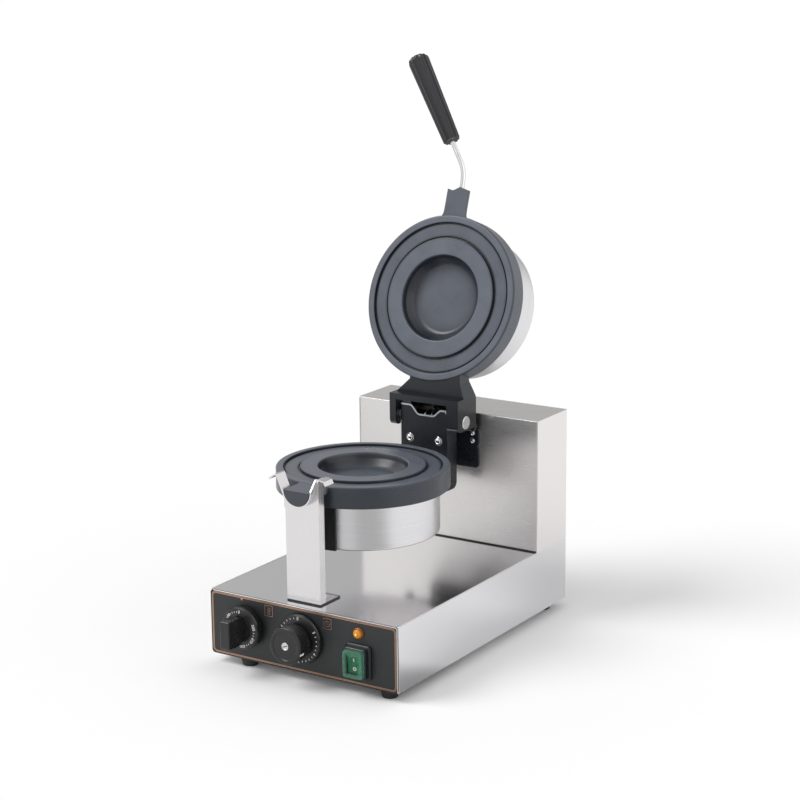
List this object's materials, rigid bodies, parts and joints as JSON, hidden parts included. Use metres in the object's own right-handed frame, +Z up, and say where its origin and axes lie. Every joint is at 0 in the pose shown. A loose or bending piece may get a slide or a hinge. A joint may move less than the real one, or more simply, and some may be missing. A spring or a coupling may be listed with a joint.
{
  "type": "rotary burger maker",
  "caption": "Countertop cooker with a hinged round lid and a round cooking plate that turn together on a shaft above a stainless control base.",
  "frame": {"origin": "on the standing surface, under the middle of the part's outer box, which is the middle of the base", "axes": "+X to the user's right facing the controls, +Y towards the rear housing, +Z up"},
  "size_m": [0.25, 0.4517, 0.6548],
  "materials": {
    "stainless": "brushed stainless sheet",
    "bright_steel": "bright plated or turned steel",
    "coated_casting": "cast aluminium with a dark non-stick coat",
    "black_iron": "black painted steel",
    "panel_black": "satin black panel with a copper border",
    "bakelite": "black moulded plastic",
    "rubber": "black rubber",
    "lamp_amber": "translucent amber plastic",
    "switch_black": "black moulded plastic",
    "switch_green": "green translucent plastic",
    "clear_cover": "clear soft cover",
    "badge": "plain pressed disc",
    "bronze": "plain bearing metal",
    "wool": "mineral wool",
    "element": "sheathed heating element",
    "ceramic": "moulded insulator"
  },
  "bodies": {
    "base": {"base_housing": "stainless", "front_panel": "panel_black", "bottom_plate": "stainless", "bottom_screws": "bright_steel", "feet": "rubber", "foot_screws": "bright_steel", "rear_housing": "stainless", "housing_screws": "bright_steel", "rear_cover": "stainless", "rear_cover_screws": "bright_steel", "bearing_plate": "black_iron", "bearing_housing": "black_iron", "bearing_screws": "bright_steel", "front_bush": "bronze", "rear_bearing_bracket": "black_iron", "rear_bush": "bronze", "front_support": "stainless", "support_screws": "bright_steel", "fixing_nuts": "bright_steel", "thermostat_body": "ceramic", "timer_body": "ceramic", "panel_nuts": "bright_steel", "pilot_lamp_body": "switch_black", "pilot_lamp_lens": "lamp_amber", "switch_housing": "switch_black", "switch_cover": "clear_cover", "terminal_block": "ceramic", "cord_gland": "switch_black", "gland_nut": "switch_black"},
    "rotor": {"rotor_shaft": "bright_steel", "shaft_collar": "bright_steel", "hinge_bracket": "black_iron", "bracket_screws": "bright_steel", "lug_screws": "bright_steel", "hinge_pin": "bright_steel", "hinge_washers": "bright_steel", "lid_stop_pins": "bright_steel", "lower_plate": "coated_casting", "lower_drum": "stainless", "lower_strap": "black_iron", "lower_element": "element", "lower_insulation": "wool", "lower_clamp_bolt": "bright_steel"},
    "lid": {"upper_plate": "coated_casting", "upper_drum": "stainless", "upper_strap": "black_iron", "upper_element": "element", "upper_insulation": "wool", "upper_clamp_bolt": "bright_steel", "lid_yoke": "black_iron", "yoke_screws": "bright_steel", "handle_rod": "bright_steel", "handle_grip": "bakelite"},
    "temperature_knob": {"thermostat_knob": "bakelite", "thermostat_spindle": "bright_steel"},
    "timer_knob": {"timer_dial": "bakelite", "timer_cap": "bakelite", "timer_badge": "badge", "timer_spindle": "bright_steel"},
    "power_switch": {"switch_rocker": "switch_green"}
  },
  "joints": [
    {"name": "rotor_turn", "type": "hinge", "parent": "base", "child": "rotor", "pos_m": [-0.006, 0, 0.2162], "axis": [0, 1, 0], "range_deg": [-30, 30]},
    {"name": "lid_hinge", "type": "hinge", "parent": "rotor", "child": "lid", "pos_m": [-0.006, 0.087, 0.2398], "axis": [1, 0, 0], "range_deg": [0, 109.3]},
    {"name": "thermostat_turn", "type": "hinge", "parent": "base", "child": "temperature_knob", "pos_m": [-0.076, -0.1965, 0.051], "axis": [0, 1, 0], "range_deg": [0, 285]},
    {"name": "timer_turn", "type": "hinge", "parent": "base", "child": "timer_knob", "pos_m": [0, -0.1965, 0.051], "axis": [0, 1, 0], "range_deg": [0, 300]},
    {"name": "switch_rock", "type": "hinge", "parent": "base", "child": "power_switch", "pos_m": [0.0755, -0.1895, 0.039], "axis": [-1, 0, 0], "range_deg": [0, 14]}
  ]
}
